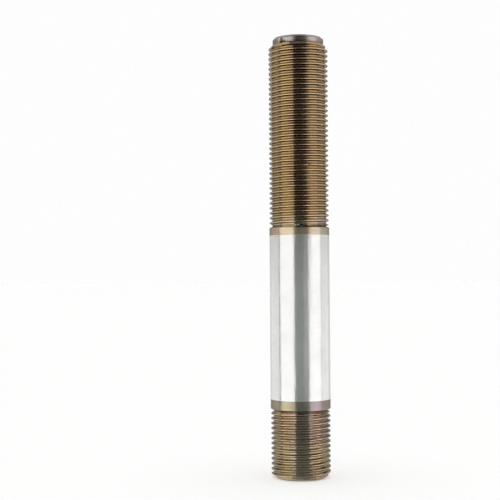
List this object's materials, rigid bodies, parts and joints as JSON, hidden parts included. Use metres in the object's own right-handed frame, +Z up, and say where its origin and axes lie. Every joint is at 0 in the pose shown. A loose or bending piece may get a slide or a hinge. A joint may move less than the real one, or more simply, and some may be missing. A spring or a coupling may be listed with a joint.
{
  "type": "draw stud",
  "caption": "Turned steel draw stud for a knockout punch: a long and a short threaded end on a ground shank.",
  "frame": {"origin": "centre of the foot, the end face of the short thread, on the surface that the stud stands on", "axes": "+Z up along the axis of the bar, from the short ram thread to the long punch thread"},
  "size_m": [0.019, 0.019, 0.1397],
  "materials": {
    "stud_steel": "ground bright in the middle, bronze heat oxide on the threads and collars"
  },
  "bodies": {
    "root": {"draw_stud": "stud_steel"}
  },
  "joints": []
}
